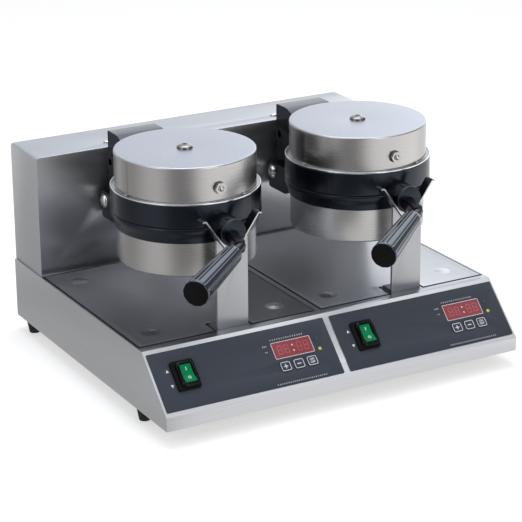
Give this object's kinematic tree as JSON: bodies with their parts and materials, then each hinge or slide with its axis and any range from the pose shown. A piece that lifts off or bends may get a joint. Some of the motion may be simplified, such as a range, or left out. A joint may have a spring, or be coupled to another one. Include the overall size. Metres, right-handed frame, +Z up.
{
  "type": "double Belgian waffle maker",
  "caption": "Countertop waffle baker with side-by-side round flipping heads, V saddles on posts, sloped panels and a rear tower.",
  "frame": {"origin": "bottom centre of the whole machine's box, handles included, on the plane of the feet", "axes": "+X to the right as the user faces the panels, +Y to the back, +Z up"},
  "size_m": [0.508, 0.506, 0.3051],
  "materials": {
    "brushed_steel": "brushed",
    "tray_steel": "satin",
    "drum_steel": "brushed",
    "bright_steel": "polished",
    "black_casting": "satin",
    "grip_black": "gloss",
    "panel_film": "satin",
    "black_plastic": "satin",
    "switch_green": "gloss",
    "display_red": "gloss",
    "lamp_yellow": "gloss",
    "foot_rubber": "matte",
    "grid_iron": "seasoned",
    "board_green": "matte",
    "plain_zinc": "dull"
  },
  "bodies": {
    "housing": {"base_shell": "brushed_steel", "bottom_plate": "plain_zinc", "tower_shell": "brushed_steel", "tower_back_cover": "brushed_steel", "foot_1": "foot_rubber", "foot_2": "foot_rubber", "foot_3": "foot_rubber", "foot_4": "foot_rubber", "bearing_left": "plain_zinc", "tower_screw_left": "bright_steel", "post_left": "brushed_steel", "saddle_left": "black_casting", "panel_overlay_left": "panel_film", "rocker_frame_left": "black_plastic", "display_left": "display_red", "lamp_left": "lamp_yellow", "control_board_left": "board_green", "bearing_right": "plain_zinc", "tower_screw_right": "bright_steel", "post_right": "brushed_steel", "saddle_right": "black_casting", "panel_overlay_right": "panel_film", "rocker_frame_right": "black_plastic", "display_right": "display_red", "lamp_right": "lamp_yellow", "control_board_right": "board_green"},
    "head_left": {"hinge_block_left": "black_casting", "cross_bolt_left": "bright_steel", "lower_ring_left": "black_casting", "lower_grid_left": "grid_iron", "lower_drum_left": "drum_steel"},
    "lid_left": {"upper_ring_left": "black_casting", "upper_grid_left": "grid_iron", "upper_drum_left": "drum_steel", "cap_screw_left": "bright_steel", "drum_bolt_left": "bright_steel", "handle_shank_left": "black_casting", "handle_grip_left": "grip_black"},
    "tray_left": {"drip_tray_left": "tray_steel"},
    "switch_left": {"rocker_left": "switch_green"},
    "plus_left": {"key_plus_left": "black_plastic"},
    "minus_left": {"key_minus_left": "black_plastic"},
    "start_left": {"key_start_left": "black_plastic"},
    "head_right": {"hinge_block_right": "black_casting", "cross_bolt_right": "bright_steel", "lower_ring_right": "black_casting", "lower_grid_right": "grid_iron", "lower_drum_right": "drum_steel"},
    "lid_right": {"upper_ring_right": "black_casting", "upper_grid_right": "grid_iron", "upper_drum_right": "drum_steel", "cap_screw_right": "bright_steel", "drum_bolt_right": "bright_steel", "handle_shank_right": "black_casting", "handle_grip_right": "grip_black"},
    "tray_right": {"drip_tray_right": "tray_steel"},
    "switch_right": {"rocker_right": "switch_green"},
    "plus_right": {"key_plus_right": "black_plastic"},
    "minus_right": {"key_minus_right": "black_plastic"},
    "start_right": {"key_start_right": "black_plastic"}
  },
  "joints": [
    {"name": "flip_left", "type": "hinge", "parent": "housing", "child": "head_left", "pos_m": [-0.12, 0.00497, 0.2245], "axis": [0, 1, 0], "range_deg": [0, 180]},
    {"name": "open_left", "type": "hinge", "parent": "head_left", "child": "lid_left", "pos_m": [-0.12, 0.13897, 0.252], "axis": [1, 0, 0], "range_deg": [-95, 0]},
    {"name": "lift_tray_left", "type": "slide", "parent": "housing", "child": "tray_left", "axis": [0, 0, 1], "range_m": [0, 0.025]},
    {"name": "rock_left", "type": "hinge", "parent": "housing", "child": "switch_left", "pos_m": [-0.209, -0.1618, 0.07229], "axis": [1, 0, 0], "range_deg": [0, 14]},
    {"name": "press_plus_left", "type": "slide", "parent": "housing", "child": "plus_left", "axis": [0, 0.7071, -0.7071], "range_m": [0, 0.0008], "stiffness_N_per_m": 1500},
    {"name": "press_minus_left", "type": "slide", "parent": "housing", "child": "minus_left", "axis": [0, 0.7071, -0.7071], "range_m": [0, 0.0008], "stiffness_N_per_m": 1500},
    {"name": "press_start_left", "type": "slide", "parent": "housing", "child": "start_left", "axis": [0, 0.7071, -0.7071], "range_m": [0, 0.0008], "stiffness_N_per_m": 1500},
    {"name": "flip_right", "type": "hinge", "parent": "housing", "child": "head_right", "pos_m": [0.134, 0.00497, 0.2245], "axis": [0, 1, 0], "range_deg": [0, 180]},
    {"name": "open_right", "type": "hinge", "parent": "head_right", "child": "lid_right", "pos_m": [0.134, 0.13897, 0.252], "axis": [1, 0, 0], "range_deg": [-95, 0]},
    {"name": "lift_tray_right", "type": "slide", "parent": "housing", "child": "tray_right", "axis": [0, 0, 1], "range_m": [0, 0.025]},
    {"name": "rock_right", "type": "hinge", "parent": "housing", "child": "switch_right", "pos_m": [0.045, -0.1618, 0.07229], "axis": [1, 0, 0], "range_deg": [0, 14]},
    {"name": "press_plus_right", "type": "slide", "parent": "housing", "child": "plus_right", "axis": [0, 0.7071, -0.7071], "range_m": [0, 0.0008], "stiffness_N_per_m": 1500},
    {"name": "press_minus_right", "type": "slide", "parent": "housing", "child": "minus_right", "axis": [0, 0.7071, -0.7071], "range_m": [0, 0.0008], "stiffness_N_per_m": 1500},
    {"name": "press_start_right", "type": "slide", "parent": "housing", "child": "start_right", "axis": [0, 0.7071, -0.7071], "range_m": [0, 0.0008], "stiffness_N_per_m": 1500}
  ]
}
